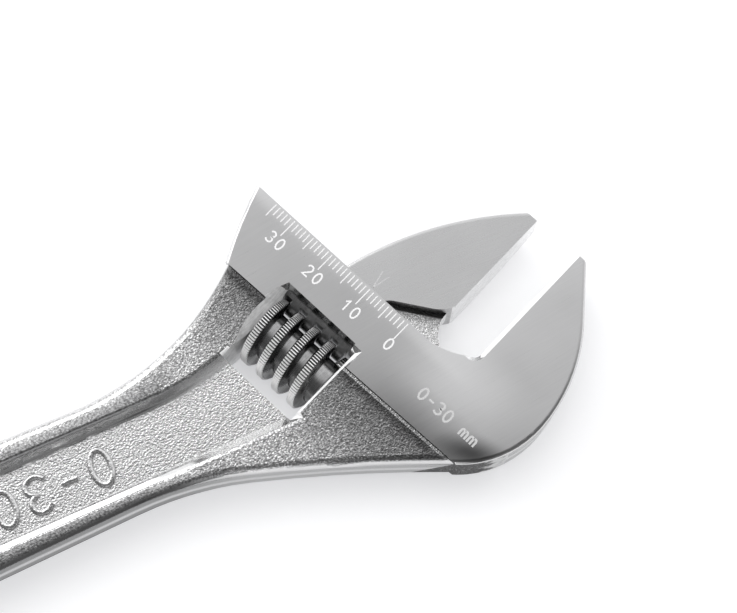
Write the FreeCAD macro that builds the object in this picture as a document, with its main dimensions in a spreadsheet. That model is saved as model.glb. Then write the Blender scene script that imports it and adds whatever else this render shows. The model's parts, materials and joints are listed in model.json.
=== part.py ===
import FreeCAD, Part
import math
import os
import Sketcher
from FreeCAD import Vector

# Adjustable wrench of 250 mm nominal length, lying flat.
# Row frame: origin at the centre of the hanging hole, halfway through the handle's thickness,
# +X along the handle towards the jaws, +Z out of the flat side.
# Jaw frame: x runs along the way the movable jaw slides (0 at the fixed jaw's gripping face,
# positive towards the back of the head), y runs up the jaws (0 at the shank's top edge) and
# z is the row's +Z. Every piece is drawn in the jaw frame and turned into the row frame by its
# Placement.

doc = FreeCAD.newDocument("adjustable_wrench")
sheet = doc.addObject("Spreadsheet::Sheet", "Sizes")

SIZES = {
    # where the jaw frame sits in the row frame
    "jaw_origin_along": 212.8,
    "jaw_origin_across": -12.15,
    "jaw_frame_turn": -67.5,
    # head and fixed jaw
    "head_thickness": 14.0,
    "neck_thickness": 12.8,
    "jaw_height": 32.2,
    "fixed_tip_width": 2.6,
    "fixed_tip_thickness": 9.0,
    "thinning_start": 11.0,
    "shank_length": 54.9,
    "head_edge_round": 0.9,
    "face_bevel": 0.85,
    # handle
    "neck_upper_width": 11.7,
    "neck_upper_station": 142.0,
    "neck_lower_width": 9.95,
    "neck_lower_station": 145.7,
    "end_half_width": 14.0,
    "end_station": 1.5,
    "handle_edge_round": 1.7,
    "hang_hole_radius": 5.0,
    "hang_hole_bevel": 0.8,
    "recess_half_width": 7.7,
    "recess_depth": 2.3,
    "recess_wall_angle": 40.0,
    "recess_edge_round": 0.9,
    "recess_end_station": 24.0,
    # window for the knurl
    "window_left": -35.7,
    "window_right": -17.7,
    "window_top": -11.3,
    "window_bottom": -28.9,
    "window_bevel": 1.0,
    # rail bore and slot
    "rail_axis_drop": 9.2,
    "rail_radius": 4.8,
    "rail_clearance": 0.1,
    "bore_end": 8.0,
    "web_thickness": 5.6,
    "slot_clearance": 0.15,
    # movable jaw
    "rest_opening": 10.0,
    "jaw_back": -31.1,
    "movable_thickness": 12.2,
    "movable_tip_thickness": 7.2,
    "movable_tip_width": 2.9,
    "jaw_seat_gap": 0.15,
    "rail_left_end": -37.6,
    "rail_right_end": -3.0,
    # worm and rack
    "thread_lead": 4.13,
    "knurl_axis_drop": 19.1,
    "knurl_radius": 7.3,
    "thread_root_radius": 4.7,
    "crest_width": 1.6,
    "root_groove_width": 1.9,
    "mesh_clearance": 0.2,
    "knurl_left": -35.5,
    "knurl_right": -17.9,
    "knurl_end_bevel": 0.4,
    "rack_depth": 2.4,
    "crest_station": -27.1,
    # pin and spring
    "pin_radius": 1.95,
    "pin_bore_radius": 2.0,
    "pin_tip": -11.5,
    "pin_head_radius": 2.75,
    "pin_head_clearance": 0.05,
    "pin_head_start": -45.2,
    "pin_head_end": -39.0,
    "pin_slot_width": 0.9,
    "pin_slot_depth": 1.4,
    "spring_chamber_radius": 3.2,
    "spring_chamber_depth": 6.0,
    "spring_coil_radius": 2.58,
    "spring_wire_radius": 0.3,
    "spring_pitch": 1.15,
}

row = 1
for alias, value in SIZES.items():
    sheet.set("A%d" % row, alias)
    sheet.set("B%d" % row, str(value))
    sheet.setAlias("B%d" % row, alias)
    row += 1
doc.recompute()


def size(alias):
    """A driving dimension, read from the spreadsheet."""
    return float(getattr(sheet, alias))


def bind(target, prop, formula):
    """Tie a property to the spreadsheet; bare aliases are written with a leading @."""
    target.setExpression(prop, formula.replace("@", "Sizes."))


TURN = math.radians(size("jaw_frame_turn"))
ALONG = Vector(math.cos(TURN), math.sin(TURN), 0)
UP = Vector(-math.sin(TURN), math.cos(TURN), 0)
JAW_ORIGIN = Vector(size("jaw_origin_along"), size("jaw_origin_across"), 0)


def from_row(x, y):
    """A point given in the row frame, as a point of the jaw frame."""
    offset = Vector(x, y, 0) - JAW_ORIGIN
    return (offset.dot(ALONG), offset.dot(UP))


def to_row(point):
    """A point of the jaw frame, as x and y of the row frame."""
    here = JAW_ORIGIN + ALONG * point.x + UP * point.y
    return (here.x, here.y)


def new_body(label, drop=0.0):
    """A body drawn in the jaw frame, with its own axis line dropped below the shank's top edge."""
    body = doc.addObject("PartDesign::Body", label)
    body.Label = label
    rotation = FreeCAD.Rotation(Vector(0, 0, 1), size("jaw_frame_turn"))
    body.Placement = FreeCAD.Placement(JAW_ORIGIN - UP * drop, rotation)
    return body


def origin_plane(body, role):
    for feature in body.Origin.OriginFeatures:
        if feature.Role == role:
            return feature
    raise RuntimeError("no plane " + role)


def new_sketch(body, name, role="XY_Plane", offset=None):
    """A sketch on one of the body's own planes; offset is a formula for its height above it."""
    sketch = body.newObject("Sketcher::SketchObject", name)
    sketch.AttachmentSupport = [(origin_plane(body, role), "")]
    sketch.MapMode = "FlatFace"
    if offset is not None:
        bind(sketch, "AttachmentOffset.Base.z", offset)
    return sketch


def draw(sketch, start, steps):
    """A closed outline: each step is a point for a straight run, or (middle, end) for an arc."""
    here = Vector(start[0], start[1], 0)
    beginning = here
    for step in steps:
        if isinstance(step[0], tuple):
            middle = Vector(step[0][0], step[0][1], 0)
            there = Vector(step[1][0], step[1][1], 0)
            arc = Part.Arc(here, middle, there)
            sketch.addGeometry(arc, False)
        else:
            there = Vector(step[0], step[1], 0)
            sketch.addGeometry(Part.LineSegment(here, there), False)
        here = there
    if (here - beginning).Length > 1e-9:
        sketch.addGeometry(Part.LineSegment(here, beginning), False)


def tangent_arc(start, heading, end):
    """The step for an arc that leaves start along heading (degrees) and finishes at end."""
    run_x, run_y = end[0] - start[0], end[1] - start[1]
    chord_heading = math.atan2(run_y, run_x)
    turn = chord_heading - math.radians(heading)
    turn = math.atan2(math.sin(turn), math.cos(turn))
    sagitta = math.hypot(run_x, run_y) / 2 * math.tan(turn / 2)
    middle = (
        (start[0] + end[0]) / 2 + sagitta * math.sin(chord_heading),
        (start[1] + end[1]) / 2 - sagitta * math.cos(chord_heading),
    )
    return (middle, end), math.degrees(chord_heading + turn)


def draw_box(sketch, left, bottom, right, top):
    """A rectangle held by four dimensions, each a formula of the spreadsheet."""
    x0, y0, x1, y1 = (value for value, formula in (left, bottom, right, top))
    corners = [Vector(x0, y0, 0), Vector(x1, y0, 0), Vector(x1, y1, 0), Vector(x0, y1, 0)]
    for i in range(4):
        sketch.addGeometry(Part.LineSegment(corners[i], corners[(i + 1) % 4]), False)
    for i in range(4):
        sketch.addConstraint(Sketcher.Constraint("Coincident", i, 2, (i + 1) % 4, 1))
    for i, kind in ((0, "Horizontal"), (1, "Vertical"), (2, "Horizontal"), (3, "Vertical")):
        sketch.addConstraint(Sketcher.Constraint(kind, i))
    held = (("DistanceX", 0, left), ("DistanceY", 0, bottom), ("DistanceX", 2, right), ("DistanceY", 2, top))
    for kind, geometry, (value, formula) in held:
        index = sketch.addConstraint(Sketcher.Constraint(kind, -1, 1, geometry, 1, value))
        bind(sketch, "Constraints[%d]" % index, formula)


def draw_circle(sketch, x, y, *aliases):
    """A circle whose radius is held at the sum of the named sizes."""
    radius = sum(size(alias) for alias in aliases)
    sketch.addGeometry(Part.Circle(Vector(x, y, 0), Vector(0, 0, 1), radius), False)
    index = sketch.addConstraint(Sketcher.Constraint("Radius", 0, radius))
    bind(sketch, "Constraints[%d]" % index, " + ".join("@" + alias for alias in aliases))


def draw_thinning(sketch, half, tip_half, top):
    """The wedge taken off a jaw's back side, starting level at thinning_start and deepest at the tip."""
    start = size("thinning_start")
    beyond = 2.0
    depth = (half - tip_half) * ((top + beyond - start) / (top - start)) ** 2
    curve, _ = tangent_arc((start, -half), 0, (top + beyond, depth - half))
    draw(sketch, (start, -half), [curve, (top + beyond, -half - 3.0), (start, -half - 3.0)])


def pad(body, name, sketch, length, midplane=True, reverse=False):
    feature = body.newObject("PartDesign::Pad", name)
    feature.Profile = sketch
    if midplane:
        feature.SideType = "Symmetric"
    feature.Reversed = reverse
    bind(feature, "Length", length)
    return settle(body, feature)


def pocket(body, name, sketch, length, midplane=False, reverse=False, taper=None, slant=None):
    before = body.Shape.Volume
    feature = body.newObject("PartDesign::Pocket", name)
    feature.Profile = sketch
    if midplane:
        feature.SideType = "Symmetric"
    feature.Reversed = reverse
    bind(feature, "Length", length)
    if taper is not None:
        bind(feature, "TaperAngle", taper)
    if slant is not None:
        feature.UseCustomVector = True
        feature.Direction = slant
    settle(body, feature)
    if not body.Shape.Volume < before - 0.01:
        raise RuntimeError("nothing removed by " + name)
    return feature


def settle(body, feature):
    body.Tip = feature
    doc.recompute()
    if "Invalid" in feature.State or "Error" in feature.State:
        raise RuntimeError(body.Label + " failed at " + feature.Label)
    if body.Shape.isNull() or not body.Shape.isValid():
        raise RuntimeError(body.Label + " has a bad shape after " + feature.Label)
    return feature


def mirror(body, name, features):
    """The same cuts on the other flat side."""
    before = body.Shape.Volume
    feature = body.newObject("PartDesign::Mirrored", name)
    feature.Originals = features
    feature.MirrorPlane = (origin_plane(body, "XY_Plane"), "")
    settle(body, feature)
    if not body.Shape.Volume < before - 0.01:
        raise RuntimeError("nothing mirrored by " + name)
    return feature


def edge_names(feature, wanted):
    """Names of the feature's edges whose middle point passes the test."""
    names = []
    for number, edge in enumerate(feature.Shape.Edges, 1):
        if edge.Length < 1e-3:
            continue
        span = edge.ParameterRange
        middle = edge.valueAt((span[0] + span[1]) / 2)
        if wanted(middle, edge):
            names.append("Edge%d" % number)
    if not names:
        raise RuntimeError("no edges chosen on " + feature.Label)
    return names


def round_edges(body, name, feature, names, radius):
    fillet = body.newObject("PartDesign::Fillet", name)
    fillet.Base = (feature, names)
    bind(fillet, "Radius", radius)
    return settle(body, fillet)


def bevel_edges(body, name, feature, names, width):
    chamfer = body.newObject("PartDesign::Chamfer", name)
    chamfer.Base = (feature, names)
    bind(chamfer, "Size", width)
    return settle(body, chamfer)


# ---------------------------------------------------------------- handle_and_fixed_jaw
frame = new_body("handle_and_fixed_jaw")

END_HALF = size("end_half_width")
END_X = size("end_station")
LEFT_JOIN = (-48.3, -15.4)
RIGHT_JOIN = (10.75, -13.9)
JAW_TURN = size("jaw_frame_turn")


def handle_side(neck, side):
    """Where a straight side from the neck (row frame) meets the round end, and its rise in degrees."""
    reach = math.hypot(neck[0] - END_X, neck[1])
    swing = math.atan2(abs(neck[1]), neck[0] - END_X) + math.acos(END_HALF / reach)
    touch = (END_X + END_HALF * math.cos(swing), side * END_HALF * math.sin(swing))
    rise = math.degrees(math.atan2(neck[1] - touch[1], neck[0] - touch[0]))
    return touch, rise


# Neck and handle: the rough forged part, a little thinner than the ground head, and running
# a little way into it.
neck_sketch = new_sketch(frame, "NeckOutline")
upper_neck = (size("neck_upper_station"), size("neck_upper_width"))
lower_neck = (size("neck_lower_station"), -size("neck_lower_width"))
upper_touch, upper_rise = handle_side(upper_neck, 1)
lower_touch, lower_rise = handle_side(lower_neck, -1)
neck_left = (-50.2, -10.5)
neck_right = (11.6, -12.7)
lower_bend = from_row(168.0, -13.1)
upper_arc, _ = tangent_arc(from_row(*upper_neck), upper_rise - JAW_TURN, neck_left)
bend_arc, bend_heading = tangent_arc(from_row(*lower_neck), lower_rise - JAW_TURN, lower_bend)
lower_arc, _ = tangent_arc(lower_bend, bend_heading, neck_right)
draw(
    neck_sketch,
    neck_left,
    [
        (upper_arc[0], from_row(*upper_neck)),
        from_row(*upper_touch),
        (from_row(END_X - END_HALF, 0), from_row(*lower_touch)),
        from_row(*lower_neck),
        bend_arc,
        lower_arc,
        (8.0, -6.0),
        (-44.0, -6.0),
    ],
)
neck = pad(frame, "Neck", neck_sketch, "@neck_thickness")
HALF_NECK = size("neck_thickness") / 2


def is_neck_rim(point, edge):
    on_rim = abs(abs(point.z) - HALF_NECK) < 1e-4
    return on_rim and point.y < -9.6


neck_rounded = round_edges(
    frame, "HandleEdges", neck, edge_names(neck, is_neck_rim), "@handle_edge_round"
)

# Recess along both flat sides of the handle, with sloping walls.
RECESS = size("recess_half_width")
RECESS_X = size("recess_end_station")
recess_sketch = new_sketch(frame, "RecessOutline", offset="@neck_thickness / 2")
recess_corner = from_row(RECESS_X, RECESS)
flare_start = from_row(156.0, RECESS)
flare, _ = tangent_arc(flare_start, -JAW_TURN, from_row(174.0, 10.8))
draw(
    recess_sketch,
    recess_corner,
    [
        (from_row(RECESS_X - RECESS, 0), from_row(RECESS_X, -RECESS)),
        from_row(182.0, -RECESS),
        from_row(178.5, 4.0),
        from_row(174.0, 10.8),
        (flare[0], flare_start),
    ],
)
recess = pocket(frame, "Recess", recess_sketch, "@recess_depth", taper="-@recess_wall_angle")
recess_both = mirror(frame, "RecessBoth", [recess])


def is_recess_rim(point, edge):
    x, y = to_row(point)
    on_face = abs(abs(point.z) - HALF_NECK) < 1e-3
    beside = RECESS_X - RECESS - 1 < x < 177 and abs(y) < RECESS + 2.6
    return on_face and beside


recess_softened = round_edges(
    frame, "RecessEdges", recess_both, edge_names(recess_both, is_recess_rim), "@recess_edge_round"
)

# Head and fixed jaw: ground flat on both sides and slightly proud of the neck.
head_sketch = new_sketch(frame, "HeadOutline")
JAW_TOP = size("jaw_height")
jaw_flat_end = (10.2, 22.9)
widest = (17.9, 2.6)
flat_heading = math.degrees(
    math.atan2(jaw_flat_end[1] - JAW_TOP, jaw_flat_end[0] - size("fixed_tip_width"))
)
back_arc, back_heading = tangent_arc(jaw_flat_end, flat_heading, widest)
heel_arc, _ = tangent_arc(widest, back_heading, RIGHT_JOIN)
draw(
    head_sketch,
    (-size("shank_length"), 0),
    [
        (-8.5, 0),
        ((-4.5, 1.15), (-0.7, 3.5)),
        ((-0.2, 4.0), (0, 4.8)),
        (0, JAW_TOP),
        (size("fixed_tip_width"), JAW_TOP),
        jaw_flat_end,
        back_arc,
        heel_arc,
        LEFT_JOIN,
        ((-52.4, -6.8), (-size("shank_length"), 0)),
    ],
)
head = pad(frame, "Head", head_sketch, "@head_thickness")

# The fixed jaw thins towards its tip on its back side; the scale side stays flat.
jaw_thin_sketch = new_sketch(frame, "FixedJawThinning", "YZ_Plane", "-1 mm")
HALF_HEAD = size("head_thickness") / 2
draw_thinning(jaw_thin_sketch, HALF_HEAD, size("fixed_tip_thickness") - HALF_HEAD, JAW_TOP)
jaw_thinned = pocket(frame, "FixedJawThinningCut", jaw_thin_sketch, "25 mm", reverse=True)


def is_head_rim(point, edge):
    """The outer edge of the flat faces, round the back of the jaw and the shank's end."""
    high = abs(point.z) > 3.2
    on_back = point.x > 2.2 and point.y > -13.5
    on_end = point.x < -48.5 and point.y > -15.3
    bounds = edge.BoundBox
    flat_run = bounds.ZLength < 6 and edge.Length > 3
    return high and flat_run and (on_back or on_end) and not is_inner(point)


def is_inner(point):
    """True on the step between head and neck."""
    return point.y < -12.0 and -47.5 < point.x < 10.0


head_rounded = round_edges(
    frame, "HeadEdges", jaw_thinned, edge_names(jaw_thinned, is_head_rim), "@head_edge_round"
)


def cut_box(name, left, bottom, right, top, length):
    """A rectangular cut through the middle of the frame; each side is a spreadsheet alias."""
    sketch = new_sketch(frame, name + "Outline")
    sides = [(size(alias), "@" + alias) for alias in (left, bottom, right, top)]
    draw_box(sketch, *sides)
    return pocket(frame, name, sketch, length, midplane=True)


# Window through the neck in which the knurl turns.
cut_box("Window", "window_left", "window_bottom", "window_right", "window_top", "20 mm")

# The window's cast edge leans outward at the top and sides, most where the thumb goes in.
LEFT = size("window_left")
RIGHT = size("window_right")
TOP = size("window_top")
mouth_sketch = new_sketch(frame, "WindowMouth", offset="@head_thickness / 2 + 0.01")
draw(
    mouth_sketch,
    (LEFT + 0.6, -26.6),
    [
        ((LEFT - 2.3, -17.2), (LEFT - 0.6, -10.0)),
        (RIGHT - 1.0, -10.0),
        (RIGHT - 1.0, -26.6),
    ],
)
throat_sketch = new_sketch(frame, "WindowThroat", offset="@head_thickness / 2 - 3.6")
draw(
    throat_sketch,
    (LEFT + 0.6, -26.4),
    [
        ((LEFT - 0.05, -18.6), (LEFT + 0.05, TOP + 0.05)),
        (RIGHT - 1.0, TOP + 0.05),
        (RIGHT - 1.0, -26.4),
    ],
)
mouth = frame.newObject("PartDesign::SubtractiveLoft", "WindowLean")
mouth.Profile = mouth_sketch
mouth.Sections = [throat_sketch]
mouth.Ruled = True
settle(frame, mouth)
mirror(frame, "WindowLeanBoth", [mouth])

# The window's right edge is bevelled on both flat sides.
BEVEL = size("window_bevel")
BOTTOM = size("window_bottom")
bevel_mouth = new_sketch(frame, "WindowBevelMouth", offset="@head_thickness / 2 + 0.01")
draw_box(
    bevel_mouth,
    (RIGHT - 2.0, "@window_right - 2"),
    (BOTTOM, "@window_bottom"),
    (RIGHT + BEVEL, "@window_right + @window_bevel"),
    (TOP + BEVEL, "@window_top + @window_bevel"),
)
bevel_floor = new_sketch(frame, "WindowBevelFloor", offset="@head_thickness / 2 - @window_bevel - 0.2")
draw_box(
    bevel_floor,
    (RIGHT - 2.0, "@window_right - 2"),
    (BOTTOM, "@window_bottom"),
    (RIGHT, "@window_right"),
    (TOP, "@window_top"),
)
bevel = frame.newObject("PartDesign::SubtractiveLoft", "WindowBevel")
bevel.Profile = bevel_mouth
bevel.Sections = [bevel_floor]
bevel.Ruled = True
settle(frame, bevel)
mirror(frame, "WindowBevelBoth", [bevel])

# Round bore for the movable jaw's rail, open at the shank's left end.
bore_sketch = new_sketch(frame, "RailBoreCircle", "YZ_Plane", "@bore_end")
draw_circle(bore_sketch, -size("rail_axis_drop"), 0, "rail_radius", "rail_clearance")
rail_bore = pocket(frame, "RailBore", bore_sketch, "@shank_length + @bore_end + 8")

# Slot for the web between rail and jaw, running on under the root of the fixed jaw.
slot_sketch = new_sketch(frame, "SlotOutline")
SLOT_FLOOR = -size("rail_axis_drop")
draw(
    slot_sketch,
    (-62.0, SLOT_FLOOR),
    [
        (6.5, SLOT_FLOOR),
        (6.5, -1.2),
        (5.5, 1.2),
        (2.5, 2.3),
        (1.2, 3.6),
        (0.6, 5.9),
        (-1.0, 8.0),
        (-62.0, 8.0),
    ],
)
slot = pocket(frame, "Slot", slot_sketch, "@web_thickness + 2 * @slot_clearance", midplane=True)

# Pin bore across the window from the neck's edge, with a wider mouth for the pin's head.
pin_sketch = new_sketch(frame, "PinBoreCircle", "YZ_Plane", "@pin_tip + 0.3")
draw_circle(pin_sketch, -size("knurl_axis_drop"), 0, "pin_bore_radius")
pocket(frame, "PinBore", pin_sketch, "50 mm")

pin_head_sketch = new_sketch(frame, "PinHeadCircle", "YZ_Plane", "@pin_head_end + 0.05")
draw_circle(pin_head_sketch, -size("knurl_axis_drop"), 0, "pin_head_radius", "pin_head_clearance")
pocket(frame, "PinHeadBore", pin_head_sketch, "20 mm")

# Hanging hole through the handle's end.
hole_sketch = new_sketch(frame, "HangHoleCircle")
hole_x, hole_y = from_row(0, 0)
draw_circle(hole_sketch, hole_x, hole_y, "hang_hole_radius")
hang_hole = pocket(frame, "HangHole", hole_sketch, "20 mm", midplane=True)


def is_hole_rim(point, edge):
    x, y = to_row(point)
    return math.hypot(x, y) < size("hang_hole_radius") + 0.1 and abs(abs(point.z) - HALF_NECK) < 1e-3


hole_bevelled = bevel_edges(
    frame, "HangHoleBevel", hang_hole, edge_names(hang_hole, is_hole_rim), "@hang_hole_bevel"
)


def is_grip_rim(point, edge):
    return abs(point.x) < 0.01 and point.y > 8 and edge.Length > 20 and abs(point.z) > 4


grip_bevelled = bevel_edges(
    frame, "GripBevel", hole_bevelled, edge_names(hole_bevelled, is_grip_rim), "@face_bevel"
)


# ---------------------------------------------------------------- movable_jaw
jaw = new_body("movable_jaw")
GRIP = -size("rest_opening")
JAW_BACK = size("jaw_back")
SEAT = size("jaw_seat_gap")

# Jaw block, with its heel cut away above the shank.
block_sketch = new_sketch(jaw, "BlockOutline")
draw(
    block_sketch,
    (JAW_BACK, SEAT),
    [
        (-20.5, SEAT),
        ((-20.1, 0.65), (-19.3, 1.3)),
        (-12.9, 5.25),
        ((-11.1, 6.75), (GRIP, 8.5)),
        (GRIP, JAW_TOP),
        (GRIP - size("movable_tip_width"), JAW_TOP),
        ((-23.5, 18.5), (JAW_BACK, SEAT)),
    ],
)
block = pad(jaw, "Block", block_sketch, "@movable_thickness")

# The jaw thins towards its tip on its back side; the scale side stays flat.
HALF_BLOCK = size("movable_thickness") / 2
block_thin_sketch = new_sketch(jaw, "BlockThinning", "YZ_Plane", "-@rest_opening + 3")
draw_thinning(block_thin_sketch, HALF_BLOCK, size("movable_tip_thickness") - HALF_BLOCK, JAW_TOP)
block_thinned = pocket(jaw, "BlockThinningCut", block_thin_sketch, "40 mm")


def is_block_back(point, edge):
    """The long curved edges up the back of the jaw."""
    return abs(point.z) > 2.0 and edge.Length > 25 and point.x < GRIP - 4 and point.y > 5


block_rounded = round_edges(
    jaw, "BlockEdges", block_thinned, edge_names(block_thinned, is_block_back), "@head_edge_round"
)

# Web that runs in the shank's slot, with a hollowed front edge.
web_sketch = new_sketch(jaw, "WebOutline")
draw(
    web_sketch,
    (JAW_BACK + 0.4, -size("rail_axis_drop")),
    [
        (-4.2, -size("rail_axis_drop")),
        (-4.2, -2.0),
        ((-4.6, 0.1), (-5.8, 0.8)),
        ((-8.9, 2.75), (-10.6, 5.6)),
        (-10.9, 8.8),
        (-22.0, 8.6),
        (JAW_BACK + 0.4, 1.2),
    ],
)
web = pad(jaw, "Web", web_sketch, "@web_thickness")

# Round rail in the bore.
rail_sketch = new_sketch(jaw, "RailCircle", "YZ_Plane", "@rail_left_end")
draw_circle(rail_sketch, -size("rail_axis_drop"), 0, "rail_radius")
rail = pad(jaw, "Rail", rail_sketch, "@rail_right_end - @rail_left_end", midplane=False)

# Rack: one slanted valley, repeated along the rail at the worm's lead.
LEAD = size("thread_lead")
AXIS_DROP = size("knurl_axis_drop")
CREST = size("crest_width")
ROOT_CREST = LEAD - size("root_groove_width")
FLANK = (ROOT_CREST - CREST) / (size("knurl_radius") - size("thread_root_radius"))
MESH = size("mesh_clearance")


def crest_width_at(distance):
    """Width of the worm's thread at a distance from the knurl's axis."""
    return CREST + FLANK * (size("knurl_radius") - distance)


rail_low = size("rail_axis_drop") + size("rail_radius")
valley_floor = rail_low - size("rack_depth")
first_valley = size("crest_station") - 2 * LEAD
floor_half = crest_width_at(AXIS_DROP - valley_floor) / 2 + MESH
mouth_half = crest_width_at(AXIS_DROP - rail_low - 0.5) / 2 + MESH
rack_sketch = new_sketch(jaw, "RackValley")
draw(
    rack_sketch,
    (first_valley - floor_half, -valley_floor),
    [
        (first_valley + floor_half, -valley_floor),
        (first_valley + mouth_half, -rail_low - 0.5),
        (first_valley - mouth_half, -rail_low - 0.5),
    ],
)
mesh_radius = AXIS_DROP - (rail_low + valley_floor) / 2
slope = LEAD / (2 * math.pi * mesh_radius)
valley = pocket(
    jaw, "RackValleyCut", rack_sketch, "16 mm", midplane=True, slant=Vector(slope, 0, 1)
)
valleys = jaw.newObject("PartDesign::LinearPattern", "Rack")
valleys.Originals = [valley]
valleys.Direction = (rack_sketch, ["H_Axis"])
VALLEY_COUNT = 9
valleys.Occurrences = VALLEY_COUNT
bind(valleys, "Length", "@thread_lead * %d" % (VALLEY_COUNT - 1))
settle(jaw, valleys)

# ---------------------------------------------------------------- knurl
knurl = new_body("knurl", AXIS_DROP)
KNURL_LEFT = size("knurl_left")
KNURL_RIGHT = size("knurl_right")
BEVEL = size("knurl_end_bevel")
OUTER = size("knurl_radius")
CHAMBER_END = KNURL_LEFT + size("spring_chamber_depth")
blank_sketch = new_sketch(knurl, "BlankProfile")
draw(
    blank_sketch,
    (KNURL_LEFT, size("spring_chamber_radius")),
    [
        (CHAMBER_END, size("spring_chamber_radius")),
        (CHAMBER_END, size("pin_bore_radius")),
        (KNURL_RIGHT, size("pin_bore_radius")),
        (KNURL_RIGHT, OUTER - BEVEL),
        (KNURL_RIGHT - BEVEL, OUTER),
        (KNURL_LEFT + BEVEL, OUTER),
        (KNURL_LEFT, OUTER - BEVEL),
    ],
)
blank = knurl.newObject("PartDesign::Revolution", "Blank")
blank.Profile = blank_sketch
blank.ReferenceAxis = (blank_sketch, ["H_Axis"])
blank.Angle = 360
settle(knurl, blank)

# One right-hand thread groove from end to end.
ROOT = size("thread_root_radius")
groove_station = size("crest_station") - 3.5 * LEAD
groove_half_root = size("root_groove_width") / 2
groove_half_mouth = groove_half_root + FLANK / 2 * (OUTER + 0.3 - ROOT)
groove_sketch = new_sketch(knurl, "GrooveProfile")
draw(
    groove_sketch,
    (groove_station - groove_half_root, ROOT),
    [
        (groove_station + groove_half_root, ROOT),
        (groove_station + groove_half_mouth, OUTER + 0.3),
        (groove_station - groove_half_mouth, OUTER + 0.3),
    ],
)
groove = knurl.newObject("PartDesign::SubtractiveHelix", "Thread")
groove.Profile = groove_sketch
groove.ReferenceAxis = (groove_sketch, ["H_Axis"])
groove.Mode = 0
bind(groove, "Pitch", "@thread_lead")
bind(groove, "Height", "@thread_lead * 6.5")
settle(knurl, groove)

# ---------------------------------------------------------------- knurl_pin
pin = new_body("knurl_pin", AXIS_DROP)
HEAD_START = size("pin_head_start")
HEAD_END = size("pin_head_end")
PIN_TIP = size("pin_tip")
PIN = size("pin_radius")
pin_profile = new_sketch(pin, "PinProfile")
draw(
    pin_profile,
    (HEAD_START, 0),
    [
        (PIN_TIP, 0),
        (PIN_TIP, PIN - 0.5),
        (PIN_TIP - 0.5, PIN),
        (HEAD_END, PIN),
        (HEAD_END, size("pin_head_radius")),
        (HEAD_START + 0.4, size("pin_head_radius")),
        (HEAD_START, size("pin_head_radius") - 0.4),
    ],
)
pin_blank = pin.newObject("PartDesign::Revolution", "PinBlank")
pin_blank.Profile = pin_profile
pin_blank.ReferenceAxis = (pin_profile, ["H_Axis"])
pin_blank.Angle = 360
settle(pin, pin_blank)
slot_width = size("pin_slot_width")
driver_sketch = new_sketch(pin, "DriverSlot", "YZ_Plane", "@pin_head_start + @pin_slot_depth")
draw(
    driver_sketch,
    (-4, -slot_width / 2),
    [(4, -slot_width / 2), (4, slot_width / 2), (-4, slot_width / 2)],
)
pocket(pin, "DriverSlotCut", driver_sketch, "4 mm")

# ---------------------------------------------------------------- knurl_spring
spring = new_body("knurl_spring", AXIS_DROP)
WIRE = size("spring_wire_radius")
wire_sketch = new_sketch(spring, "WireSection")
spring_start = size("window_left") + WIRE + 0.12
draw_circle(wire_sketch, spring_start, size("spring_coil_radius"), "spring_wire_radius")
coil = spring.newObject("PartDesign::AdditiveHelix", "Coil")
coil.Profile = wire_sketch
coil.ReferenceAxis = (wire_sketch, ["H_Axis"])
coil.Mode = 0
bind(coil, "Pitch", "@spring_pitch")
bind(coil, "Height", "@spring_chamber_depth - 2 * @spring_wire_radius - 0.1")
settle(spring, coil)

# ---------------------------------------------------------------- files
PIECES = [frame, jaw, knurl, pin, spring]
for item in doc.Objects:
    if "Invalid" in item.State or "Error" in item.State:
        raise RuntimeError("failed object " + item.Label)
for piece in PIECES:
    if piece.Shape.isNull() or not piece.Shape.isValid() or len(piece.Shape.Solids) != 1:
        raise RuntimeError("bad piece " + piece.Label)
os.makedirs("parts", exist_ok=True)
for piece in PIECES:
    piece.Shape.exportStep("parts/%s.step" % piece.Label)
    print(piece.Label, "%.1f" % piece.Shape.Volume)
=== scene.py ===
"""Looks of the adjustable wrench: ground chrome head, cast-grain handle, serrated knurl, etched scale.

Lengths are written in millimetres and turned into metres where a mesh or a light is made. The jaw frame
has its first axis along the jaw's slide, zero at the fixed jaw's gripping face; its second axis goes up
the jaws, zero at the shank's top edge; its third axis comes out of the scale side.
"""

import json
import math

import bmesh
import bpy
from mathutils import Matrix, Vector

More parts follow.
